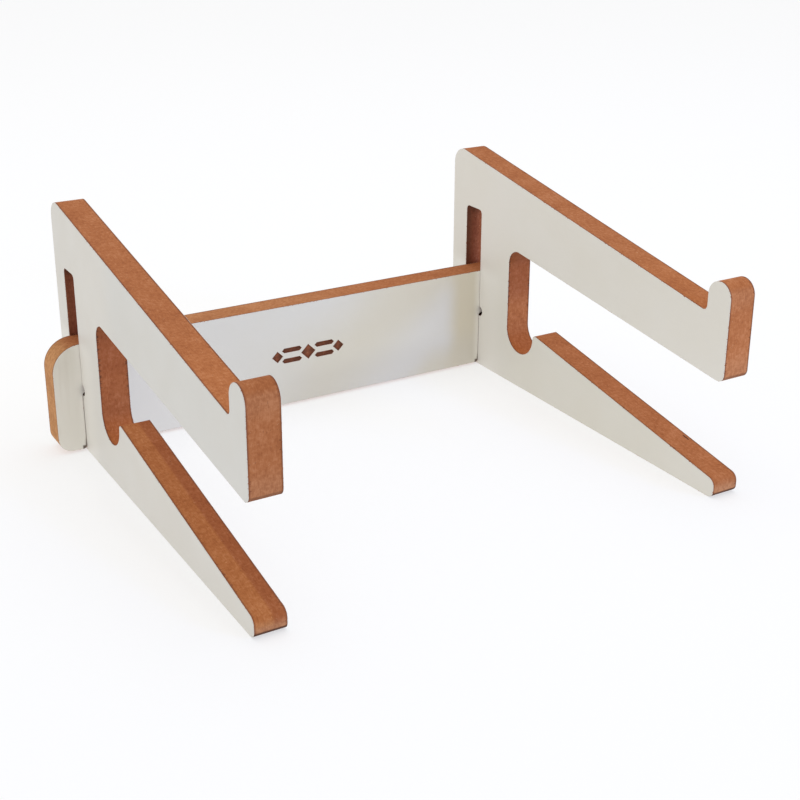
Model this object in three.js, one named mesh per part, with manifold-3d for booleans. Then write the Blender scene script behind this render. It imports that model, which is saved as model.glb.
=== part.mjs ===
// Flat-pack laptop stand: two identical side boards and one crossbar, cut from melamine-faced fibreboard.
// The crossbar is let into an upright slot in each side by a cross lap and lifts straight out of both.
// Every board is a fibreboard core with a thin melamine facing pressed on each of its two faces.
// Millimetres. X points right, Y points back, Z points up; the origin is on the table under the middle.

import * as THREE from "three";
import { mergeVertices } from "three/addons/utils/BufferGeometryUtils.js";
import Module from "manifold-3d";

// ---- board ----
const BOARD = 18; // full thickness, facings included
const FACING = 0.375;
const CORE = BOARD - 2 * FACING;
const LAP_PLAY = 0.25; // clearance on each side of a board that sits in a slot or a notch
const CHORD_ERROR = 0.01; // how far a facet of a round stretch may lie inside its true arc

// ---- side board: distances forward from its back edge, and heights above the table ----
const DEPTH = 279;
const REST_AT_BACK = 154; // the sloping edge that carries the laptop, produced to the back edge
const REST_SLOPE = 0.1712; // fall per millimetre forward
const ARM_UNDER_AT_BACK = 104.7;
const ARM_UNDER_SLOPE = 0.1206;
const LEG_TOP_AT_BACK = 60.1;
const LEG_TOP_SLOPE = 0.175;
const LIP_TOP = 129.25;
const LIP_WIDTH = 17.75;
const GAP_BACK = 69.5; // the gap between arm and leg starts this far forward
const GAP_ROUND = 15; // its bottom is a half circle
const GAP_BOTTOM = 24.25;
const GAP_TOP_ROUND = 10;
const BACK_TOP_ROUND = 11;
const BACK_BOTTOM_ROUND = 5;
const SEAT_ROUND = 3.25; // inside corner between the sloping rest and the lip
const ARM_NOSE_ROUND = 5;
const LEG_TIP_ROUND = 2.75;
const TOE_TOP_ROUND = 5;
const TOE_BOTTOM_ROUND = 4.5;

// ---- crossbar and its lap ----
const BAR_LENGTH = 342;
const BAR_BOTTOM = 1.25; // the bar hangs just clear of the table
const BAR_TOP = 69.75;
const BAR_FRONT = 35; // its front face, forward from the back edge of the sides
const TAB = 17.25; // length of bar that stands out beyond each side
const TAB_TOP_ROUND = 17;
const TAB_BOTTOM_ROUND = 9;
const LAP_SILL = 36.5; // height at which the bar rests in the sides
const SLOT_TOP = 113.5;
const SLOT_TOP_ROUND = 3;
const SLOT_RELIEF = 3.5; // radius of the cutter relief in the slot's bottom corners
const NOTCH_RELIEF = 2; // radius of the relief in the notch's top corners
const NOTCH_MOUTH_ROUND = 2;

// ---- carved ornament, a plain divider in the middle of the bar's front face ----
const CARVE_DEPTH = 1.5;
const CARVE_INSET = 0.875; // how far the sloping walls run in by the bottom of the cut
const CARVE_CLEAR = 1; // length of cutter left standing out of the face
const CENTRE_LOZENGE = { length: 10.5, height: 10.5, along: 0, up: 0 };
const STROKE = { length: 14.5, height: 3.25, along: 12, up: 3.625 };
const END_LOZENGE = { length: 8, height: 8, along: 22.5, up: 0 };

// ---- worked out ----
const SIDE_MIDDLE = BAR_LENGTH / 2 - TAB - BOARD / 2;
const BACK = DEPTH / 2;
const BAR_MIDDLE = BACK - BAR_FRONT + BOARD / 2;

const facingMaterial = new THREE.MeshStandardMaterial({ color: 0xe6e3db, roughness: 0.4, metalness: 0 });
const coreMaterial = new THREE.MeshStandardMaterial({ color: 0xad6c41, roughness: 0.85, metalness: 0 });

const wasm = await Module();
wasm.setup();

// Points of a closed outline whose corners [across, up, radius] are rounded by arcs touching both sides.
function roundedOutline(corners) {
  const points = [];
  corners.forEach(([x, y, radius], i) => {
    const corner = new THREE.Vector2(x, y);
    if (radius === 0) {
      points.push(corner);
      return;
    }
    const before = corners[(i + corners.length - 1) % corners.length];
    const after = corners[(i + 1) % corners.length];
    const toBefore = new THREE.Vector2(before[0], before[1]).sub(corner).normalize();
    const toAfter = new THREE.Vector2(after[0], after[1]).sub(corner).normalize();
    const opening = Math.acos(toBefore.dot(toAfter));
    const middle = toBefore.clone().add(toAfter).normalize();
    const centre = middle.multiplyScalar(radius / Math.sin(opening / 2)).add(corner);
    const touch = radius / Math.tan(opening / 2);
    const start = toBefore.multiplyScalar(touch).add(corner).sub(centre);
    const end = toAfter.multiplyScalar(touch).add(corner).sub(centre);
    const turn = Math.atan2(start.cross(end), start.dot(end));
    const facets = Math.ceil(Math.abs(turn) / (2 * Math.acos(1 - CHORD_ERROR / radius)));
    for (let k = 0; k <= facets; k++) {
      points.push(start.clone().rotateAround(new THREE.Vector2(), (turn * k) / facets).add(centre));
    }
  });
  return points.filter((p, i) => p.distanceTo(points[(i + 1) % points.length]) > 1e-4);
}

// A flat layer of an outline, with the outlines of its through holes.
function layer(outline, holes, thickness) {
  const shape = new THREE.Shape(outline);
  shape.holes = holes.map((hole) => new THREE.Path(hole));
  return new THREE.ExtrudeGeometry(shape, { depth: thickness, bevelEnabled: false });
}

// Turns a layer drawn in (back, up) into an upright board that starts at x and grows to the right.
function facingSideways(geometry, x) {
  const basis = new THREE.Matrix4().makeBasis(
    new THREE.Vector3(0, 1, 0),
    new THREE.Vector3(0, 0, 1),
    new THREE.Vector3(1, 0, 0),
  );
  return geometry.applyMatrix4(basis).translate(x, 0, 0);
}

// Turns a layer drawn in (right, up) into an upright board that starts at y and grows to the front.
function facingForward(geometry, y) {
  const basis = new THREE.Matrix4().makeBasis(
    new THREE.Vector3(1, 0, 0),
    new THREE.Vector3(0, 0, 1),
    new THREE.Vector3(0, -1, 0),
  );
  return geometry.applyMatrix4(basis).translate(0, y, 0);
}

function solidOf(geometry) {
  const bare = geometry.clone();
  bare.deleteAttribute("normal");
  bare.deleteAttribute("uv");
  const merged = mergeVertices(bare);
  return new wasm.Manifold(
    new wasm.Mesh({
      numProp: 3,
      vertProperties: merged.attributes.position.array,
      triVerts: new Uint32Array(merged.index.array),
    }),
  );
}

function geometryOf(solid) {
  const mesh = solid.getMesh();
  const geometry = new THREE.BufferGeometry();
  geometry.setAttribute("position", new THREE.BufferAttribute(mesh.vertProperties, 3));
  geometry.setIndex(new THREE.BufferAttribute(mesh.triVerts, 1));
  const faceted = geometry.toNonIndexed();
  faceted.computeVertexNormals();
  return faceted;
}

// The side board seen from its side: foot, toe, leg, gap, arm, lip and sloping rest.
function sideOutline() {
  const across = (forward) => BACK - forward;
  const restAt = (forward) => REST_AT_BACK - REST_SLOPE * forward;
  const armUnderAt = (forward) => ARM_UNDER_AT_BACK - ARM_UNDER_SLOPE * forward;
  const legTopAt = (forward) => LEG_TOP_AT_BACK - LEG_TOP_SLOPE * forward;
  const gapFront = GAP_BACK + 2 * GAP_ROUND;
  const lipBack = DEPTH - LIP_WIDTH;
  return roundedOutline([
    [across(0), 0, BACK_BOTTOM_ROUND],
    [across(DEPTH), 0, TOE_BOTTOM_ROUND],
    [across(DEPTH), legTopAt(DEPTH), TOE_TOP_ROUND],
    [across(gapFront), legTopAt(gapFront), LEG_TIP_ROUND],
    [across(gapFront), GAP_BOTTOM, GAP_ROUND],
    [across(GAP_BACK), GAP_BOTTOM, GAP_ROUND],
    [across(GAP_BACK), armUnderAt(GAP_BACK), GAP_TOP_ROUND],
    [across(DEPTH), armUnderAt(DEPTH), ARM_NOSE_ROUND],
    [across(DEPTH), LIP_TOP, LIP_WIDTH / 2],
    [across(lipBack), LIP_TOP, LIP_WIDTH / 2],
    [across(lipBack), restAt(lipBack), SEAT_ROUND],
    [across(0), restAt(0), BACK_TOP_ROUND],
  ]);
}

// The slot that takes the bar: rounded at the top, relieved sideways at the bottom so the bar sits square.
function slotOutline() {
  const front = BAR_MIDDLE - BOARD / 2 - LAP_PLAY;
  const back = BAR_MIDDLE + BOARD / 2 + LAP_PLAY;
  const reliefTop = LAP_SILL + 2 * SLOT_RELIEF;
  return roundedOutline([
    [front, SLOT_TOP, SLOT_TOP_ROUND],
    [front, reliefTop, 0],
    [front - SLOT_RELIEF, reliefTop, SLOT_RELIEF],
    [front - SLOT_RELIEF, LAP_SILL, SLOT_RELIEF],
    [back + SLOT_RELIEF, LAP_SILL, SLOT_RELIEF],
    [back + SLOT_RELIEF, reliefTop, SLOT_RELIEF],
    [back, reliefTop, 0],
    [back, SLOT_TOP, SLOT_TOP_ROUND],
  ]);
}

// Half of the bar's outline on the right, from the middle of its bottom edge round to its top edge.
function barHalf() {
  const end = BAR_LENGTH / 2;
  const inner = SIDE_MIDDLE - BOARD / 2 - LAP_PLAY;
  const outer = SIDE_MIDDLE + BOARD / 2 + LAP_PLAY;
  const reliefTop = LAP_SILL + NOTCH_RELIEF;
  return [
    [inner, BAR_BOTTOM, NOTCH_MOUTH_ROUND],
    [inner, reliefTop, NOTCH_RELIEF],
    [inner + 2 * NOTCH_RELIEF, reliefTop, NOTCH_RELIEF],
    [inner + 2 * NOTCH_RELIEF, LAP_SILL, 0],
    [outer - 2 * NOTCH_RELIEF, LAP_SILL, 0],
    [outer - 2 * NOTCH_RELIEF, reliefTop, NOTCH_RELIEF],
    [outer, reliefTop, NOTCH_RELIEF],
    [outer, BAR_BOTTOM, NOTCH_MOUTH_ROUND],
    [end, BAR_BOTTOM, TAB_BOTTOM_ROUND],
    [end, BAR_TOP, TAB_TOP_ROUND],
  ];
}

function barOutline() {
  const right = barHalf();
  const left = right.map(([x, z, radius]) => [-x, z, radius]).reverse();
  return roundedOutline([...right, ...left]);
}

// The ornament: a lozenge in the middle, then on each side a pair of strokes and a small lozenge.
function ornament() {
  const marks = [CENTRE_LOZENGE];
  for (const side of [-1, 1]) {
    marks.push({ ...END_LOZENGE, along: side * END_LOZENGE.along });
    for (const level of [-1, 1]) {
      marks.push({ ...STROKE, along: side * STROKE.along, up: level * STROKE.up });
    }
  }
  return marks;
}

// A cutter for one carved mark: full size at the bar's front face, drawn in by its sloping walls below it.
function carver({ length, height, along, up }) {
  const tip = height / 2; // both ends of a mark run to a right-angled point
  const flat = length / 2 - tip;
  const points = [
    [-length / 2, 0],
    [-flat, -tip],
    [flat, -tip],
    [length / 2, 0],
    [flat, tip],
    [-flat, tip],
  ];
  const corners = points.filter(([x, y], i) => i === 0 || x !== points[i - 1][0] || y !== points[i - 1][1]);
  const shape = new THREE.Shape(corners.map(([x, y]) => new THREE.Vector2(x, y)));
  const cutter = new THREE.ExtrudeGeometry(shape, {
    depth: CARVE_CLEAR,
    bevelThickness: CARVE_DEPTH,
    bevelSize: CARVE_INSET,
    bevelOffset: -CARVE_INSET,
    bevelSegments: 1,
  });
  cutter.translate(along, (BAR_BOTTOM + BAR_TOP) / 2 + up, 0);
  return solidOf(facingForward(cutter, BAR_MIDDLE - BOARD / 2));
}

function carve(geometry) {
  return geometryOf(ornament().reduce((board, mark) => board.subtract(carver(mark)), solidOf(geometry)));
}

function named(name, geometry, material) {
  const mesh = new THREE.Mesh(geometry, material);
  mesh.name = name;
  return mesh;
}

// One side board: its layers from left to right, named by which face looks away from the bar's middle.
function sideBoard(name, middle) {
  const outline = sideOutline();
  const holes = [slotOutline()];
  const left = middle - BOARD / 2;
  const [leftFace, rightFace] = middle < 0 ? ["outer", "inner"] : ["inner", "outer"];
  const facing = () => layer(outline, holes, FACING);
  const board = new THREE.Group();
  board.add(
    named(`${name}_${leftFace}_facing`, facingSideways(facing(), left), facingMaterial),
    named(`${name}_core`, facingSideways(layer(outline, holes, CORE), left + FACING), coreMaterial),
    named(`${name}_${rightFace}_facing`, facingSideways(facing(), left + FACING + CORE), facingMaterial),
  );
  return board;
}

// The crossbar: its layers from back to front, the front two carved.
function crossbar() {
  const outline = barOutline();
  const back = BAR_MIDDLE + BOARD / 2;
  const facing = () => layer(outline, [], FACING);
  const board = new THREE.Group();
  board.add(
    named("crossbar_back_facing", facingForward(facing(), back), facingMaterial),
    named("crossbar_core", carve(facingForward(layer(outline, [], CORE), back - FACING)), coreMaterial),
    named("crossbar_front_facing", carve(facingForward(facing(), back - FACING - CORE)), facingMaterial),
  );
  return board;
}

const stand = new THREE.Group();
stand.add(sideBoard("left_side", -SIDE_MIDDLE), crossbar(), sideBoard("right_side", SIDE_MIDDLE));

export default stand;
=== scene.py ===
"""The looks of the laptop stand: its boards' fine surfaces, materials, light and camera."""

import math

import bmesh
import bpy
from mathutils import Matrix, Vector
from mathutils.geometry import tessellate_polygon


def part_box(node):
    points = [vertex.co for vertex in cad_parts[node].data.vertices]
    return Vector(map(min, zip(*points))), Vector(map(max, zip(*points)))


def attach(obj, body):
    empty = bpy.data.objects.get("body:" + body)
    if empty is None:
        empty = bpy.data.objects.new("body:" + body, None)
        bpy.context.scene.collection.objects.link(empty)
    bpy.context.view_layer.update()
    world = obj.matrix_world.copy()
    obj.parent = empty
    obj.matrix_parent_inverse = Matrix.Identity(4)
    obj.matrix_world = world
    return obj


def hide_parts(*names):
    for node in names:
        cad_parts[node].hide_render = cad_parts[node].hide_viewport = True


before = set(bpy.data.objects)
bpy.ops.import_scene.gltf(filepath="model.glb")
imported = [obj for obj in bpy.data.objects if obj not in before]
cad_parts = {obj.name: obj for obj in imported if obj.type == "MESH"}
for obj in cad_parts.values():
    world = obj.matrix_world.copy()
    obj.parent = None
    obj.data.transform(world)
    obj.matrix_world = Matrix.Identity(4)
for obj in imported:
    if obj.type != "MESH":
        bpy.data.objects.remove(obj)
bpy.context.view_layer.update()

MM = 0.001

# The boards, each a fibreboard core between two melamine facings.
BOARDS = {
    "left_side": ("outer", "inner"),
    "crossbar": ("front", "back"),
    "right_side": ("outer", "inner"),
}

# The facings' outer edges are broken: a small quarter round.
ARRIS = 0.2 * MM
CARVED_ARRIS = 0.1 * MM
ARRIS_STEPS = 3
# The strip beside each edge that gets chipped and grubby.
EDGE_STRIP = 1.0 * MM
CARVED_STRIP = 0.4 * MM
EDGE = "edge"
CUT = "cut"

# How far out the middle of each side board stands, and how far back the middle of the crossbar
SIDE_MIDDLE = 144.75 * MM
BAR_MIDDLE = 113.5 * MM
# How far back the flat bottoms of the carved marks lie
CARVED_FLOOR = 106.0 * MM

SAME_LEVEL = 2e-6
STRAIGHT = math.radians(0.5)
SHARP = math.radians(35)

CAMERA_PLACE = (-378.2 * MM, -653.9 * MM, 364.8 * MM)
CAMERA_TURN = (69.373, -0.202, -30.542)
CAMERA_LENS = 61.5
CAMERA_RISE = -0.08

# Colours, in linear light
WHITE = (1.0, 1.0, 1.0, 1.0)
# The three papers are one melamine, made lighter or darker per face as painted light and shade: the inner
# facings lightest, the outer ones darkest
OUTER_PAPER = ((0.704, 0.673, 0.608, 1.0), (0.714, 0.687, 0.629, 1.0))
INNER_PAPER = ((0.758, 0.724, 0.646, 1.0), (0.768, 0.737, 0.667, 1.0))
BAR_PAPER = ((0.716, 0.684, 0.601, 1.0), (0.726, 0.697, 0.622, 1.0))
# Painted warm shade for the right end of the crossbar's front
PAPER_WARM_SHADE = (0.672, 0.622, 0.502, 1.0)
# The pores' colour, also used as painted shade low on the crossbar's front
PAPER_PORE_AND_SHADE = (0.600, 0.570, 0.520, 1.0)
# Painted light, beside the joints and at the crossbar's left end
PAPER_PAINTED_LIGHT = (0.830, 0.800, 0.735, 1.0)
PAPER_GRIME = (0.36, 0.27, 0.18, 1.0)
# Dirt at the joints, also used as a painted shade spot at each joint's bottom
JOINT_DIRT_AND_SHADE = (0.09, 0.06, 0.04, 1.0)
FIBRE_LIGHT = (0.515, 0.198, 0.079, 1.0)
FIBRE = (0.435, 0.146, 0.047, 1.0)
FIBRE_DARK = (0.350, 0.107, 0.033, 1.0)
FIBRE_DENSE = (0.200, 0.064, 0.026, 1.0)
# Painted sheen and floor light on the front cut faces, light and dark in the mottle
SHEEN_LIGHT = (0.560, 0.255, 0.122, 1.0)
SHEEN_DARK = (0.422, 0.177, 0.081, 1.0)
# Painted light and sheen on the crossbar's cut, light and dark in the mottle
LIT_CUT_LIGHT = (0.615, 0.300, 0.120, 1.0)
LIT_CUT_DARK = (0.463, 0.208, 0.078, 1.0)
ROUTED_LIGHT = (0.330, 0.114, 0.058, 1.0)
ROUTED = (0.265, 0.080, 0.036, 1.0)
ROUTED_DARK = (0.190, 0.052, 0.023, 1.0)
CARVED_LIGHT = (0.33, 0.108, 0.052, 1.0)
CARVED = (0.26, 0.078, 0.036, 1.0)
# The dark of the cutter's bites and the scratch, also used as painted shade in the slots, at the carved rims
# and under the toes and noses
DARK_MARKS_AND_SHADE = (0.070, 0.026, 0.014, 1.0)
BARK = (0.170, 0.060, 0.026, 1.0)
TUFT = (0.640, 0.330, 0.175, 1.0)

# How much each colour is raised or lowered from place to place, mostly as painted light and shade
# Painted light on one side of the slot walls
SLOT_LIT = (1.75, 1.85, 1.60, 1.0)
# Painted shade on the gaps' back walls, painted light on the right one low down, and painted light and shade
# on their round bottoms
GAP_SHADE = (0.83, 0.76, 0.82, 1.0)
GAP_LIGHT = (1.11, 1.16, 1.28, 1.0)
GAP_ROUND_TINT = (1.03, 0.94, 0.85, 1.0)
# Painted light and painted shade on the two halves of the left leg's top
LEG_LIT = (1.10, 1.09, 0.93, 1.0)
LEG_SHADED = (0.89, 0.77, 0.69, 1.0)
# How much paler the tops of the arms are made
ARM_PALER = (1.08, 1.08, 1.03, 1.0)
ARM_PAPER_TINT = (0.955, 0.972, 0.990, 1.0)
# Painted shade on the right leg's paper
LEG_PAPER_SHADE = (0.950, 0.950, 0.930, 1.0)

# Where each mark fades in: the two places between which it does so, in millimetres, and then,
# unless it goes from none to all, how strong it is at each. ALONG is the way to the right, DEPTH the
# way to the back, HEIGHT the way up, OUT the way out from the middle, BESIDE the way from a joint,
# and ACROSS the way across a board's thickness from its middle.
TO_LEFT = (0, -20)
TO_RIGHT = (0, 20)

# The crossbar's paper
# Where the painted warm shade lies
BAR_WARM_SHADE_ALONG = (104, 117)
BAR_WARM_SHADE_DEPTH = (112, 106)
# Where the painted shade lies low on the front
BAR_LOW_SHADE_HEIGHT = (34, 12, 0.0, 0.45)
BAR_LOW_SHADE_ALONG = (-50, 0)
# Where the painted light lies at the left end
BAR_LIT_ALONG = (-65, -90, 0.0, 0.5)
BAR_LIT_HEIGHT = (60, 40)
TAB_STAIN_OUT = (154.5, 157)
# Where the painted light lies beside the joints
JOINT_LIGHT_BESIDE = (15, 9, 0.0, 0.7)
JOINT_LIGHT_HEIGHT = (0, 9)
JOINT_DIRT_BESIDE = (10.4, 9.5)
JOINT_DIRT_HEIGHT = (11, 2, 0.0, 0.9)
# Where the painted shade spot lies at each joint's bottom
JOINT_SHADE_SPOT_BESIDE = (12.2, 11.2)
JOINT_SHADE_SPOT_HEIGHT = (4.2, 3.0)
JOINT_SHADE_SPOT_STRENGTH = 0.95

# The sides' paper
# Where the painted light lies beside the crossbar
SIDE_LIGHT_BESIDE = (42, 14)
SIDE_LIGHT_HEIGHT = (78, 66)
ARM_GREY_HEIGHT = (55, 65)
ARM_GREY_DEPTH = (60, 30)
# Where the painted shade lies on the right leg
LEG_SHADE_HEIGHT = (62, 48)
LEG_SHADE_BACK = (90, 60)
LEG_SHADE_FRONT = (-120, -60, 0.5, 1.0)

# The cut edges
# Where the painted sheen lies on the front cut faces
FRONT_DEPTH = (-136.5, -139.2)
TOE_HEIGHT = (10, 5)
NOSE_HEIGHT = (50, 60)
NOSE_LOW_HEIGHT = (92, 77, 0.08, 0.6)
NOSE_HIGH_HEIGHT = (110, 120, 0.08, 0.4)
# Where the painted light lies on the crossbar's cut
BAR_TOP_HEIGHT = (68, 69.5)
BAR_TOP_OUT = (135.5, 134)
BAR_TOP_ALONG = (70, -20, 0.0, 0.35)
BAR_END_OUT = (154, 167)
GAP_BACK_FROM = (45, 60)
GAP_BACK_TO = (76, 71)
GAP_BACK_HEIGHT = (125, 110)
# Where the painted shade and light lie in the gaps
GAP_SHADE_HEIGHT = (48, 66)
GAP_SHADE_ALONG = (20, -20, 0.0, 0.7)
GAP_ROUND_HEIGHT = (38, 29)
# Where the gaps' back walls are darker at the top
GAP_DARKER_TOP_HEIGHT = (79, 92, 0.0, 0.6)
LEG_TOP_HEIGHT = (60, 58)
LEG_TOP_ABOVE_TOE = (4, 7)
LEG_TOP_DEPTH = (44, 40)
# Where the left leg top's painted light gives way to painted shade
LEG_HALVES_ACROSS = (0.5, 2.5)
# Where the tops of the arms are paler
PALER_DEPTH = (-20, -90)
PALER_LIP_DEPTH = (-124, -119)
PALER_HEIGHT = (88, 94)
# Where the painted light and shade lie on the sides' cuts
SHADE_DEPTH = (60, 30)
SHADE_HEIGHT = (105, 95)
SHADE_NOSE_DEPTH = (-119, -124)
SHADE_ALONG = (-20, 20, -0.08, 0.08)
SHADE_TOE_HEIGHT = (8, 14, -0.03, 0.08)
# Where the painted shade lies under the toes and noses
UNDERSIDE_DEPTH = (-128, -134)
UNDERSIDE_HEIGHT = (50, 20, 0.45, 0.9)
DENSE_FROM_MIDDLE = (7.6, 8.5)
BITES_FROM_MIDDLE = (6.9, 7.9)
BITES_HEIGHT = (42, 55, 0.0, 0.6)

# The walls of the slots, and of the carved marks from their flat bottoms forward
# Painted light on one side of the slot walls, painted shade on the other side and at the top
SLOT_LIT_ACROSS = (-4, 5)
SLOT_LIT_ALONG = (-20, 20, 0.25, 1.0)
SLOT_SHADE_ACROSS = (-2.5, -8.5, 0.0, 0.68)
SLOT_SHADE_ALONG = (-20, 20, 0.3, 1.0)
SLOT_TOP_HEIGHT = (104, 113, 0.0, 0.7)
# Where the painted shade lies along the rims of the carved marks
CARVED_RIM_SHADE = (0.15, 0.9, 0.0, 0.7)

# A scratch on top of the right leg: its middle, its half sizes, and the leg's heights there
SCRATCH = (151.2 * MM, -97.5 * MM)
SCRATCH_HALF = (0.4 * MM, 2.6 * MM)
SCRATCH_ABOVE = (5, 10)
SCRATCH_BELOW = (40, 30)

# How fast each pattern changes to a metre. The print on the melamine runs along the board. The
# patterns of the cut edges are stretched by how fast they change along the cut and across the board.
GRAIN_ALONG = 150.0
GRAIN_ACROSS = 2400.0
STAIN_RUNS = (260.0, 260.0, 25.0)
FIBRES = (230.0, 1500.0, 1.0)
BARK_FLECKS = (500.0, 1100.0, 1.0)
DENSE_WANDER = (60.0, 0.0, 0.0)
DENSE_NICKS = (650.0, 40.0, 0.0)
CUTTER_BITES = (760.0, 90.0, 0.0)
# How deep the nicks run in, and the pitch of the cutter's marks
NICK_DEPTH = 0.7 * MM
CHATTER_PITCH = 1.6 * MM

# How strongly the surfaces mirror: Blender's usual plastic, and dull board
PAPER_SHINE = 0.5
FIBRE_SHINE = 0.25

# The studio: the grey and the strength of the room's light, the floor, and the lamps, each with its
# place, what it is aimed at, its size, its power and its colour
ROOM_GREY = (0.8, 0.8, 0.8, 1.0)
ROOM_LIGHT = 0.995
FLOOR_SIZE = 12.0
FLOOR_GAP = 0.1 * MM
FLOOR_GREY = (0.42, 0.42, 0.42, 1.0)
FLOOR_ROUGHNESS = 0.9
FLOOR_GLOW = 0.58
LAMPS = {
    "top_softbox": ((0.1, 0.2, 1.6), (0, 0, 0.1), 1.6, 4.9, (1, 1, 1)),
    "window": ((1.554, -2.32, 0.975), (0.06, 0.1, 0.03), 0.5, 18.5, (0.15, 0.35, 1.0)),
}


# Outlines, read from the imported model


def thin_axis(node):
    """The axis that a board's layers are stacked along."""
    low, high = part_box(node)
    return min(range(3), key=lambda i: high[i] - low[i])


def flat_levels(node, axis):
    """Every level along an axis that a layer has points on."""
    return sorted({round(vertex.co[axis], 6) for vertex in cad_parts[node].data.vertices})


def turned_area(points):
    """Twice the area inside a polygon, negative if it runs clockwise."""
    return sum(a[0] * b[1] - b[0] * a[1] for a, b in zip(points, points[1:] + points[:1]))


def corners_of(points):
    """A polygon's points without those that lie on a straight stretch, started at the lowest."""
    kept = []
    for i, point in enumerate(points):
        before = Vector(point) - Vector(points[i - 1])
        after = Vector(points[(i + 1) % len(points)]) - Vector(point)
        if before.angle(after) > STRAIGHT:
            kept.append(Vector(point))
    start = min(range(len(kept)), key=lambda i: (kept[i][1], kept[i][0]))
    return kept[start:] + kept[:start]


def flat_loops(node, axis, level):
    """The outlines of a layer's flat face on one level, each with the material on its left."""
    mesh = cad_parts[node].data
    edges = {}
    for face in mesh.polygons:
        corners = [mesh.vertices[i].co for i in face.vertices]
        if any(abs(corner[axis] - level) > SAME_LEVEL for corner in corners):
            continue
        points = [tuple(round(c, 7) for i, c in enumerate(corner) if i != axis) for corner in corners]
        if turned_area(points) < 0:
            points.reverse()
        edges.update(dict.fromkeys(zip(points, points[1:] + points[:1])))
    rim = {start: end for start, end in edges if (end, start) not in edges}
    loops = []
    while rim:
        start, point = rim.popitem()
        points = [start]
        while point != start:
            points.append(point)
            point = rim.pop(point)
        loops.append(corners_of(points))
    return loops


def misfit(loop, other):
    """How far apart the boxes round two outlines are."""
    gaps = [
        abs(pick(p[i] for p in loop) - pick(p[i] for p in other))
        for pick in (min, max)
        for i in range(2)
    ]
    return max(gaps)


def matched(loop, others):
    """The outline that goes with this one on another level, started at the same corner."""
    other = min(others, key=lambda o: misfit(loop, o))
    start = min(range(len(other)), key=lambda i: (other[i] - loop[0]).length)
    return other[start:] + other[:start]


def inset(loop, distance):
    """An outline moved into the material, with mitred corners."""
    moved = []
    for i, point in enumerate(loop):
        sides = []
        for run in (point - loop[i - 1], loop[(i + 1) % len(loop)] - point):
            sides.append(Vector((-run[1], run[0])).normalized())
        mitre = (sides[0] + sides[1]) / (1 + sides[0].dot(sides[1]))
        moved.append(point + mitre * distance)
    return moved


# The boards' layers


class Layer:
    """A mesh made of rings of points, on levels across one board, with walls and flat caps."""

    def __init__(self, node):
        self.mesh = bmesh.new()
        self.axis = thin_axis(node)
        self.cut = self.mesh.loops.layers.uv.new(CUT)
        self.edge = self.mesh.verts.layers.float.new(EDGE)

    def ring(self, loop, level, edge=0.0):
        made = []
        for point in loop:
            place = list(point)
            place.insert(self.axis, level)
            vertex = self.mesh.verts.new(place)
            vertex[self.edge] = edge
            made.append(vertex)
        return made

    def wall(self, rings, middle, material=0):
        """Skins a run of rings. Its UV map holds the way along the cut and across the board."""
        along = [0.0]
        for a, b in zip(rings[0], rings[0][1:] + rings[0][:1]):
            along.append(along[-1] + (b.co - a.co).length)
        for lower, upper in zip(rings, rings[1:]):
            for i in range(len(lower)):
                j = (i + 1) % len(lower)
                face = self.mesh.faces.new((lower[i], lower[j], upper[j], upper[i]))
                face.material_index = material
                for corner, way in zip(face.loops, (along[i], along[i + 1], along[i + 1], along[i])):
                    corner[self.cut].uv = (way, corner.vert.co[self.axis] - middle)

    def cap(self, rings, material=0):
        corners = [vertex for ring in rings for vertex in ring]
        for triangle in tessellate_polygon([[vertex.co for vertex in ring] for ring in rings]):
            face = self.mesh.faces.new([corners[i] for i in triangle])
            face.material_index = material

    def finish(self, name, materials):
        bmesh.ops.recalc_face_normals(self.mesh, faces=self.mesh.faces)
        mesh = bpy.data.meshes.new(name)
        self.mesh.to_mesh(mesh)
        self.mesh.free()
        mesh.shade_smooth()
        mesh.set_sharp_from_angle(angle=SHARP)
        for material in materials:
            mesh.materials.append(material)
        piece = bpy.data.objects.new(name, mesh)
        bpy.context.scene.collection.objects.link(piece)
        return piece


def core_piece(node, name, materials):
    """A fibreboard core: its cut edges, and the walls of its slot and its carved pockets, if any."""
    layer = Layer(node)
    levels = flat_levels(node, layer.axis)
    middle = (levels[0] + levels[-1]) / 2
    loops = {level: flat_loops(node, layer.axis, level) for level in levels}
    caps = {level: [] for level in levels}
    for loop in loops[levels[0]]:
        far = min(levels[1:], key=lambda level: misfit(loop, matched(loop, loops[level])))
        carved = far != levels[-1]
        rings = [layer.ring(loop, levels[0]), layer.ring(matched(loop, loops[far]), far)]
        routed = turned_area(loop) < 0
        layer.wall(rings, middle, material=1 if carved else 2 if routed else 0)
        caps[levels[0]].append(rings[0])
        if carved:
            layer.cap([rings[1]], material=1)
        else:
            caps[far].append(rings[1])
    layer.cap(caps[levels[0]])
    layer.cap(caps[levels[-1]])
    return layer.finish(name, materials)


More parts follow.
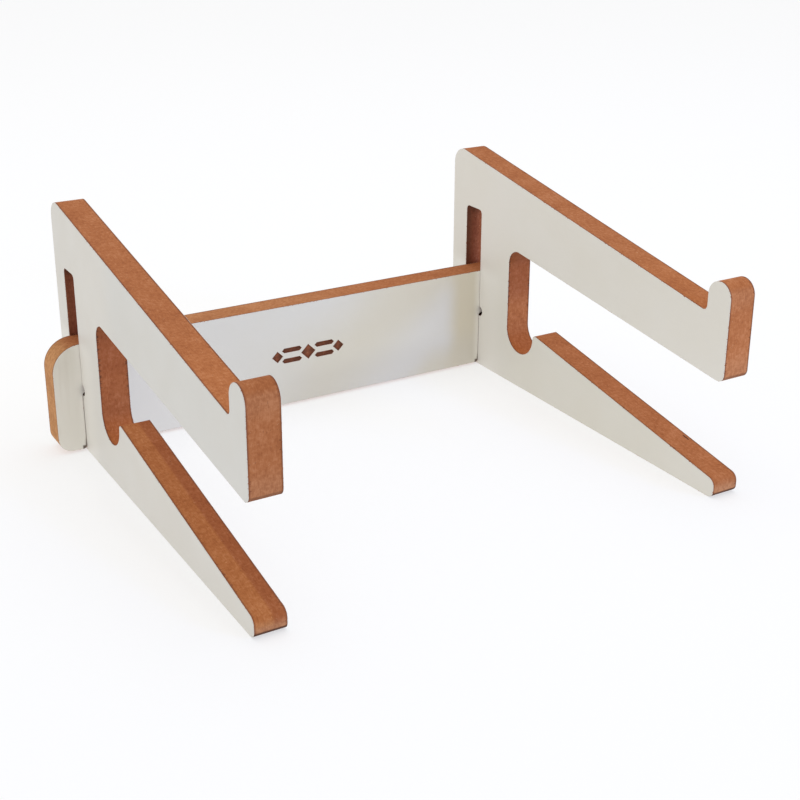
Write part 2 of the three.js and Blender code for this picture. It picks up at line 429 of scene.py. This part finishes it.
def facing_piece(node, core, name, materials):
    """A melamine facing: brown dense board below, then the white paper with its broken edge."""
    layer = Layer(node)
    low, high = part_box(core)
    middle = (low[layer.axis] + high[layer.axis]) / 2
    inner, outer = sorted(flat_levels(node, layer.axis), key=lambda level: abs(level - middle))
    outward = math.copysign(1, outer - inner)
    backs = flat_loops(node, layer.axis, inner)
    inner_rings, outer_rings = [], []
    for front in flat_loops(node, layer.axis, outer):
        back = matched(front, backs)
        carved = misfit(front, back) > SAME_LEVEL
        arris, strip = (CARVED_ARRIS, CARVED_STRIP) if carved else (ARRIS, EDGE_STRIP)
        under = [layer.ring(back, inner, 1), layer.ring(front, outer - outward * arris, 1)]
        rings = under[1:]
        for step in range(1, ARRIS_STEPS + 1):
            turn = math.pi / 2 * step / ARRIS_STEPS
            level = outer - outward * arris * (1 - math.sin(turn))
            rings.append(layer.ring(inset(front, arris * (1 - math.cos(turn))), level, 1))
        rings.append(layer.ring(inset(front, strip), outer))
        layer.wall(under, middle, material=1)
        layer.wall(rings, middle)
        inner_rings.append(under[0])
        outer_rings.append(rings[-1])
    layer.cap(inner_rings, material=1)
    layer.cap(outer_rings)
    return layer.finish(name, materials)


# Materials


class Shader:
    """A procedural material under construction."""

    def __init__(self, name):
        self.material = bpy.data.materials.new(name)
        self.material.use_nodes = True
        self.tree = self.material.node_tree
        self.surface = self.tree.nodes["Principled BSDF"]
        self.place = self.node("TexCoord").outputs["Object"]
        self.x, self.y, self.z = self.parts(self.place)

    def feed(self, socket, value):
        if isinstance(value, bpy.types.NodeSocket):
            self.tree.links.new(value, socket)
        else:
            socket.default_value = value

    def node(self, kind, inputs=None, **settings):
        made = self.tree.nodes.new("ShaderNode" + kind)
        for setting, value in settings.items():
            setattr(made, setting, value)
        for socket, value in (inputs or {}).items():
            self.feed(made.inputs[socket], value)
        return made

    def math(self, operation, *values):
        return self.node("Math", dict(enumerate(values)), operation=operation).outputs[0]

    def product(self, first, *others):
        """All the values multiplied together."""
        for other in others:
            first = self.math("MULTIPLY", first, other)
        return first

    def away(self, value, middle):
        """How far a value is from a middle, whichever way."""
        return self.math("ABSOLUTE", self.math("SUBTRACT", value, middle))

    def parts(self, vector):
        return self.node("SeparateXYZ", {0: vector}).outputs

    def stretched(self, vector, factors):
        return self.node("VectorMath", {0: vector, 1: factors}, operation="MULTIPLY").outputs[0]

    def noise(self, vector, scale, detail=2.0, roughness=0.5, seed=0.0):
        moved = self.node("VectorMath", {0: vector, 1: (seed, seed, seed)}, operation="ADD")
        inputs = {"Vector": moved.outputs[0], "Scale": scale, "Detail": detail, "Roughness": roughness}
        return self.node("TexNoise", inputs).outputs[0]

    def ramp(self, value, start, end, low=0.0, high=1.0):
        inputs = {"Value": value, "From Min": start, "From Max": end, "To Min": low, "To Max": high}
        return self.node("MapRange", inputs, interpolation_type="SMOOTHSTEP").outputs[0]

    def fade(self, distance, start, end, low=0.0, high=1.0):
        """A ramp between two places that are given in millimetres."""
        return self.ramp(distance, start * MM, end * MM, low, high)

    def mix(self, factor, one, other, blend="MIX"):
        inputs = {0: factor, 6: one, 7: other}
        return self.node("Mix", inputs, data_type="RGBA", blend_type=blend).outputs[2]

    def tinted(self, factor, colour, tint):
        return self.mix(factor, colour, tint, blend="MULTIPLY")

    def bump(self, height, distance, normal=None):
        inputs = {"Height": height, "Distance": distance}
        if normal is not None:
            inputs["Normal"] = normal
        return self.node("Bump", inputs).outputs[0]

    def finish(self, colour, roughness, shine, normal):
        inputs = self.surface.inputs
        self.feed(inputs["Base Color"], colour)
        self.feed(inputs["Roughness"], roughness)
        self.feed(inputs["Specular IOR Level"], shine)
        self.feed(inputs["Normal"], normal)
        return self.material


def joint_dirt_and_shade(shader, beside):
    """Dirt on the crossbar where it meets the sides, low down, and a painted shade spot at each bottom."""
    dirt = shader.product(shader.fade(shader.z, *JOINT_DIRT_HEIGHT), shader.fade(beside, *JOINT_DIRT_BESIDE))
    # A painted shade spot at each joint's bottom
    spot = shader.product(shader.fade(beside, *JOINT_SHADE_SPOT_BESIDE), shader.fade(shader.z, *JOINT_SHADE_SPOT_HEIGHT))
    return shader.math("MAXIMUM", dirt, shader.product(spot, JOINT_SHADE_SPOT_STRENGTH))


def bar_marks(shader, colour):
    """The crossbar's marks: painted warm shade at the right end, painted shade low down, painted light at
    the left end, stained on the tabs, and beside the sides both painted light and dirt, with a painted shade
    spot at each bottom."""
    x, y, z = shader.x, shader.y, shader.z
    out = shader.math("ABSOLUTE", x)
    beside = shader.away(out, SIDE_MIDDLE)
    # Painted warm shade at the right end
    warm_shade = shader.product(shader.fade(x, *BAR_WARM_SHADE_ALONG), shader.fade(y, *BAR_WARM_SHADE_DEPTH))
    colour = shader.mix(warm_shade, colour, PAPER_WARM_SHADE)
    # Painted shade low down, except at the left end
    low_shade = shader.product(shader.fade(z, *BAR_LOW_SHADE_HEIGHT), shader.fade(x, *BAR_LOW_SHADE_ALONG))
    colour = shader.mix(low_shade, colour, PAPER_PORE_AND_SHADE)
    # Painted light at the left end
    lit_patch = shader.product(shader.fade(x, *BAR_LIT_ALONG), shader.fade(z, *BAR_LIT_HEIGHT))
    colour = shader.mix(lit_patch, colour, PAPER_PAINTED_LIGHT)
    runs = shader.noise(shader.stretched(shader.place, STAIN_RUNS), 1.0, seed=15.0)
    stain = shader.product(shader.fade(out, *TAB_STAIN_OUT), shader.ramp(runs, 0.5, 0.75, 0.0, 0.08))
    colour = shader.mix(stain, colour, PAPER_GRIME)
    # Painted light beside the joints
    white = shader.product(shader.fade(beside, *JOINT_LIGHT_BESIDE), shader.fade(z, *JOINT_LIGHT_HEIGHT))
    colour = shader.mix(white, colour, PAPER_PAINTED_LIGHT)
    return shader.mix(joint_dirt_and_shade(shader, beside), colour, JOINT_DIRT_AND_SHADE)


def side_marks(shader, colour):
    """A side's own marks: painted light beside the crossbar, greyer on the left arm, painted shade on the
    right leg.
    """
    x, y, z = shader.x, shader.y, shader.z
    beside = shader.away(y, BAR_MIDDLE)
    # Painted light beside the crossbar
    white = shader.product(shader.fade(beside, *SIDE_LIGHT_BESIDE), shader.fade(z, *SIDE_LIGHT_HEIGHT))
    colour = shader.mix(white, colour, PAPER_PAINTED_LIGHT)
    left_arm = shader.product(
        shader.fade(x, *TO_LEFT),
        shader.fade(z, *ARM_GREY_HEIGHT),
        shader.fade(y, *ARM_GREY_DEPTH),
    )
    colour = shader.tinted(left_arm, colour, ARM_PAPER_TINT)
    # Painted shade on the right leg
    right_leg = shader.product(
        shader.fade(x, *TO_RIGHT),
        shader.fade(z, *LEG_SHADE_HEIGHT),
        shader.fade(y, *LEG_SHADE_BACK),
        shader.fade(y, *LEG_SHADE_FRONT),
    )
    return shader.tinted(right_leg, colour, LEG_PAPER_SHADE)


def melamine(name, along, paper, marks):
    """White melamine paper: a faint print along the board, satin gloss, chipped and grubby edges."""
    shader = Shader(name)
    place = shader.place
    grain = shader.stretched(place, [GRAIN_ALONG if i == along else GRAIN_ACROSS for i in range(3)])
    pores = shader.noise(grain, 1.0, detail=3.0, roughness=0.6)
    clouds = shader.noise(place, 22.0, detail=3.0, seed=4.0)
    colour = shader.mix(shader.ramp(clouds, 0.35, 0.65), *paper)
    colour = shader.mix(shader.ramp(pores, 0.3, 0.75, 0.0, 0.05), colour, PAPER_PORE_AND_SHADE)

    edge = shader.node("Attribute", attribute_name=EDGE).outputs["Fac"]
    patches = shader.noise(place, 90.0, detail=2.0, seed=9.0)
    grime = shader.product(edge, shader.ramp(patches, 0.45, 0.75, 0.02, 0.16))
    colour = shader.mix(grime, colour, PAPER_GRIME)
    specks = shader.noise(place, 700.0, detail=1.0, seed=2.0)
    colour = shader.mix(shader.ramp(specks, 0.83, 0.86, 0.0, 0.5), colour, PAPER_GRIME)
    colour = marks(shader, colour)
    chips = shader.noise(place, 1100.0, detail=2.0, seed=6.0)
    chipped = shader.ramp(shader.product(edge, chips), 0.60, 0.66)
    colour = shader.mix(chipped, colour, FIBRE_DARK)

    gloss = shader.ramp(shader.noise(place, 35.0, detail=4.0, seed=7.0), 0.3, 0.7, 0.38, 0.48)
    roughness = shader.math("ADD", gloss, shader.product(chipped, 0.4))
    normal = shader.bump(pores, 0.015 * MM)
    normal = shader.bump(shader.math("SUBTRACT", 1.0, chipped), 0.06 * MM, normal)
    return shader.finish(colour, roughness, PAPER_SHINE, normal)


def fibre_colour(shader, light, middle, dark):
    """Felted fibres: broad and fine mottling, short fibres along the cut, light and dark flecks."""
    place = shader.place
    cut = shader.node("UVMap", uv_map=CUT).outputs[0]
    fibres = shader.noise(shader.stretched(cut, FIBRES), 1.0, detail=3.0, roughness=0.6)
    fine = shader.noise(place, 520.0, detail=3.0, roughness=0.65)
    broad = shader.noise(place, 65.0, detail=2.0, seed=3.0)
    tone = shader.math("ADD", shader.product(fibres, 0.28), shader.product(fine, 0.46))
    tone = shader.math("ADD", tone, shader.product(broad, 0.26))
    colour = shader.mix(shader.ramp(tone, 0.36, 0.52), dark, middle)
    colour = shader.mix(shader.ramp(tone, 0.49, 0.64), colour, light)
    bark = shader.noise(shader.stretched(cut, BARK_FLECKS), 1.0, detail=1.0, seed=11.0)
    colour = shader.mix(shader.ramp(bark, 0.70, 0.76, 0.0, 0.55), colour, BARK)
    tufts = shader.noise(place, 800.0, detail=1.0, seed=13.0)
    colour = shader.mix(shader.ramp(tufts, 0.72, 0.78, 0.0, 0.5), colour, TUFT)
    return colour, tone, cut


def sheen_places(shader):
    """Painted sheen and floor light on the front cut faces: the toes most, then the noses of the arms, low
    down and high up.
    """
    front = shader.fade(shader.y, *FRONT_DEPTH)
    toe = shader.product(front, shader.fade(shader.z, *TOE_HEIGHT))
    low = shader.fade(shader.z, *NOSE_LOW_HEIGHT)
    high = shader.fade(shader.z, *NOSE_HIGH_HEIGHT)
    nose = shader.product(front, shader.math("MAXIMUM", low, high), shader.fade(shader.z, *NOSE_HEIGHT))
    return shader.math("MAXIMUM", toe, nose)


def lit_cut_places(shader):
    """Painted light and sheen on the crossbar's cut: the ends of the bar most, and the left of its top a
    little.
    """
    out = shader.math("ABSOLUTE", shader.x)
    top = shader.product(
        shader.fade(shader.z, *BAR_TOP_HEIGHT),
        shader.fade(out, *BAR_TOP_OUT),
        shader.fade(shader.x, *BAR_TOP_ALONG),
    )
    return shader.math("MAXIMUM", top, shader.fade(out, *BAR_END_OUT))


def gap_back(shader):
    """Where the back wall of each side's gap is."""
    return shader.product(
        shader.fade(shader.y, *GAP_BACK_FROM),
        shader.fade(shader.y, *GAP_BACK_TO),
        shader.fade(shader.z, *GAP_BACK_HEIGHT),
    )


def gap_light_and_shade(shader):
    """Painted shade on the gaps' back walls, painted light on the right one low down, and painted light and
    shade on the round bottoms.
    """
    high = shader.fade(shader.z, *GAP_SHADE_HEIGHT)
    shaded = shader.math("MAXIMUM", high, shader.fade(shader.x, *GAP_SHADE_ALONG))
    tint = shader.mix(shaded, GAP_LIGHT, GAP_SHADE)
    return shader.mix(shader.fade(shader.z, *GAP_ROUND_HEIGHT), tint, GAP_ROUND_TINT)


def left_leg_top(shader):
    """Where the top of the left leg is."""
    return shader.product(
        shader.fade(shader.x, *TO_LEFT),
        shader.fade(shader.z, *LEG_TOP_HEIGHT),
        shader.fade(shader.y, *LEG_TOP_DEPTH),
        shader.fade(shader.z, *LEG_TOP_ABOVE_TOE),
    )


def leg_light_and_shade(shader, across):
    """Painted shade on the inner half of the left leg's top, and painted light on its outer half."""
    return shader.mix(shader.fade(across, *LEG_HALVES_ACROSS), LEG_LIT, LEG_SHADED)


def arm_tops_paler(shader):
    """How much paler the tops of the arms are: most just behind the lips."""
    return shader.product(
        shader.fade(shader.y, *PALER_DEPTH),
        shader.fade(shader.y, *PALER_LIP_DEPTH),
        shader.fade(shader.z, *PALER_HEIGHT),
    )


def side_light_and_shade(shader):
    """Painted light and shade on the cuts: in front, darker on the left side than on the right; darker by
    the table.
    """
    low = shader.product(shader.fade(shader.y, *SHADE_DEPTH), shader.fade(shader.z, *SHADE_HEIGHT))
    front = shader.math("MAXIMUM", low, shader.fade(shader.y, *SHADE_NOSE_DEPTH))
    shift = shader.product(front, shader.fade(shader.x, *SHADE_ALONG))
    shift = shader.math("MINIMUM", shift, shader.fade(shader.z, *SHADE_TOE_HEIGHT))
    return shader.math("ADD", shift, 1.0)


def dense_edges(shader, cut, from_middle):
    """How dense the board is: most along both facings, in a wandering and nicked line."""
    wander = shader.noise(shader.stretched(cut, DENSE_WANDER), 1.0, detail=3.0, seed=5.0)
    nicks = shader.noise(shader.stretched(cut, DENSE_NICKS), 1.0, detail=1.0, seed=19.0)
    nicked = shader.math("ADD", from_middle, shader.ramp(nicks, 0.62, 0.72, 0.0, NICK_DEPTH))
    return shader.product(shader.fade(nicked, *DENSE_FROM_MIDDLE), shader.ramp(wander, 0.3, 0.7, 0.55, 1.0))


def cutter_bites(shader, cut, from_middle):
    """Small dark bites of the cutter along the rims of a wall, from some way up."""
    bites = shader.noise(shader.stretched(cut, CUTTER_BITES), 1.0, detail=1.0, seed=23.0)
    return shader.product(
        shader.ramp(bites, 0.54, 0.60),
        shader.fade(from_middle, *BITES_FROM_MIDDLE),
        shader.fade(shader.z, *BITES_HEIGHT),
    )


def shaded_undersides(shader):
    """Painted shade where the board curves under, at the toes most and a little at the noses."""
    _, _, facing = shader.parts(shader.node("TexCoord").outputs["Normal"])
    return shader.product(
        shader.ramp(facing, -0.2, -0.42),
        shader.fade(shader.y, *UNDERSIDE_DEPTH),
        shader.fade(shader.z, *UNDERSIDE_HEIGHT),
    )


def scratch(shader):
    """One dark scratch on top of the right leg."""
    ragged = shader.noise(shader.place, 900.0, detail=2.0, seed=17.0)
    reach = []
    for value, middle, half in zip((shader.x, shader.y), SCRATCH, SCRATCH_HALF):
        reach.append(shader.math("DIVIDE", shader.away(value, middle), half))
    reach = shader.math("ADD", shader.math("MAXIMUM", *reach), ragged)
    leg = shader.product(shader.fade(shader.z, *SCRATCH_ABOVE), shader.fade(shader.z, *SCRATCH_BELOW))
    return shader.product(leg, shader.ramp(reach, 1.7, 1.3))


def fibreboard():
    """The cut edges: orange-brown felted fibres, darker and denser towards the facings."""
    shader = Shader("fibreboard")
    colour, tone, cut = fibre_colour(shader, FIBRE_LIGHT, FIBRE, FIBRE_DARK)
    along, across, _ = shader.parts(cut)
    from_middle = shader.math("ABSOLUTE", across)

    mottle = shader.ramp(tone, 0.42, 0.58)
    # Painted sheen and floor light on the toes and noses
    colour = shader.mix(sheen_places(shader), colour, shader.mix(mottle, SHEEN_DARK, SHEEN_LIGHT))
    # Painted light and sheen on the crossbar's ends and top
    colour = shader.mix(lit_cut_places(shader), colour, shader.mix(mottle, LIT_CUT_DARK, LIT_CUT_LIGHT))
    # Painted shade and light on the gaps' back walls
    back = gap_back(shader)
    colour = shader.tinted(back, colour, gap_light_and_shade(shader))
    # Painted light and shade on the left leg's top
    colour = shader.tinted(left_leg_top(shader), colour, leg_light_and_shade(shader, across))
    # Paler tops of the arms
    colour = shader.tinted(arm_tops_paler(shader), colour, ARM_PALER)
    # Darker at the top of each gap's back wall
    darker_top = shader.product(back, shader.fade(shader.z, *GAP_DARKER_TOP_HEIGHT))
    colour = shader.mix(darker_top, colour, FIBRE_DENSE)
    # Painted light and shade: the left side darker in front, the right lighter, the toes darker
    colour = shader.tinted(1.0, colour, side_light_and_shade(shader))
    colour = shader.mix(dense_edges(shader, cut, from_middle), colour, FIBRE_DENSE)
    colour = shader.mix(shader.product(back, cutter_bites(shader, cut, from_middle)), colour, DARK_MARKS_AND_SHADE)
    mark = scratch(shader)
    # Painted shade on the undersides, and the scratch
    colour = shader.mix(shader.math("MAXIMUM", shaded_undersides(shader), mark), colour, DARK_MARKS_AND_SHADE)

    roughness = shader.ramp(tone, 0.3, 0.7, 0.92, 0.78)
    chatter = shader.math("SINE", shader.product(along, 2 * math.pi / CHATTER_PITCH))
    normal = shader.bump(tone, 0.25 * MM)
    normal = shader.bump(chatter, 0.004 * MM, normal)
    normal = shader.bump(shader.math("SUBTRACT", 1.0, mark), 0.3 * MM, normal)
    return shader.finish(colour, roughness, FIBRE_SHINE, normal)


def routed_fibreboard():
    """The walls of the slots: darker than the cut edges, with painted shade on one side and at the top, and
    painted light on the other side.
    """
    shader = Shader("routed_fibreboard")
    colour, tone, cut = fibre_colour(shader, ROUTED_LIGHT, ROUTED, ROUTED_DARK)
    _, across, _ = shader.parts(cut)
    # Painted light on one side
    lit_patch = shader.product(shader.fade(across, *SLOT_LIT_ACROSS), shader.fade(shader.x, *SLOT_LIT_ALONG))
    colour = shader.tinted(lit_patch, colour, SLOT_LIT)
    # Painted shade on the other side and at the top
    slot_shade = shader.product(shader.fade(across, *SLOT_SHADE_ACROSS), shader.fade(shader.x, *SLOT_SHADE_ALONG))
    slot_shade = shader.math("MAXIMUM", slot_shade, shader.fade(shader.z, *SLOT_TOP_HEIGHT))
    colour = shader.mix(slot_shade, colour, DARK_MARKS_AND_SHADE)
    roughness = shader.ramp(tone, 0.3, 0.7, 0.88, 0.7)
    return shader.finish(colour, roughness, FIBRE_SHINE, shader.bump(tone, 0.25 * MM))


def carved_fibreboard():
    """The sides and floors of the carved marks: the same board, darker, in part burnished by the cutter
    and in part as painted shade, with painted shade along the rims.
    """
    shader = Shader("carved_fibreboard")
    colour, tone, _ = fibre_colour(shader, CARVED_LIGHT, CARVED, FIBRE_DENSE)
    from_floor = shader.math("SUBTRACT", CARVED_FLOOR, shader.y)
    # Painted shade along the rims
    colour = shader.mix(shader.fade(from_floor, *CARVED_RIM_SHADE), colour, DARK_MARKS_AND_SHADE)
    return shader.finish(colour, 0.8, FIBRE_SHINE, shader.bump(tone, 0.2 * MM))


# The studio


def add_floor():
    """A pale sheet that glows a little, as a light table does."""
    mesh = bpy.data.meshes.new("floor")
    half = FLOOR_SIZE / 2
    corners = [(x, y, -FLOOR_GAP) for x, y in ((-half, -half), (half, -half), (half, half), (-half, half))]
    mesh.from_pydata(corners, [], [(0, 1, 2, 3)])
    floor = bpy.data.objects.new("floor", mesh)
    bpy.context.scene.collection.objects.link(floor)
    shader = Shader("floor")
    surface = shader.surface.inputs
    shader.feed(surface["Base Color"], FLOOR_GREY)
    shader.feed(surface["Roughness"], FLOOR_ROUGHNESS)
    shader.feed(surface["Emission Color"], WHITE)
    shader.feed(surface["Emission Strength"], FLOOR_GLOW)
    mesh.materials.append(shader.material)


def add_world():
    """A pale room, the same from every side, and plain white where it is seen."""
    world = bpy.data.worlds.new("studio")
    world.use_nodes = True
    tree = world.node_tree
    nodes = tree.nodes
    seen = nodes["Background"]
    seen.inputs["Color"].default_value = WHITE
    room = nodes.new("ShaderNodeBackground")
    room.inputs["Color"].default_value = ROOM_GREY
    room.inputs["Strength"].default_value = ROOM_LIGHT
    path = nodes.new("ShaderNodeLightPath")
    switch = nodes.new("ShaderNodeMixShader")
    tree.links.new(path.outputs["Is Camera Ray"], switch.inputs[0])
    tree.links.new(room.outputs[0], switch.inputs[1])
    tree.links.new(seen.outputs[0], switch.inputs[2])
    tree.links.new(switch.outputs[0], nodes["World Output"].inputs["Surface"])
    bpy.context.scene.world = world


def add_softbox(name, place, aim, size, power, colour):
    """A square area light."""
    light = bpy.data.lights.new(name, "AREA")
    light.size = size
    light.energy = power
    light.color = colour
    holder = bpy.data.objects.new(name, light)
    holder.location = place
    holder.rotation_euler = (Vector(aim) - Vector(place)).to_track_quat("-Z", "Y").to_euler()
    holder.visible_camera = False
    bpy.context.scene.collection.objects.link(holder)


def add_camera():
    data = bpy.data.cameras.new("camera")
    data.lens = CAMERA_LENS
    data.shift_y = CAMERA_RISE
    camera = bpy.data.objects.new("camera", data)
    camera.location = CAMERA_PLACE
    camera.rotation_euler = [math.radians(angle) for angle in CAMERA_TURN]
    bpy.context.scene.collection.objects.link(camera)
    bpy.context.scene.camera = camera


add_camera()
add_floor()
add_world()
for lamp, settings in LAMPS.items():
    add_softbox(lamp, *settings)
bpy.context.scene.view_settings.view_transform = "Standard"

whites = {
    "outer": melamine("outer_melamine", 1, OUTER_PAPER, side_marks),
    "inner": melamine("inner_melamine", 1, INNER_PAPER, side_marks),
    "front": melamine("bar_melamine", 0, BAR_PAPER, bar_marks),
}
whites["back"] = whites["front"]
brown = fibreboard()
browns = [brown, carved_fibreboard(), routed_fibreboard()]

for board, facings in BOARDS.items():
    core = board + "_core"
    piece = core_piece(core, board + "_fibreboard", browns)
    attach(piece, board)
    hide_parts(core)
    for side in facings:
        node = f"{board}_{side}_facing"
        piece = facing_piece(node, core, f"{board}_{side}_melamine", [whites[side], brown])
        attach(piece, board)
        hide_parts(node)
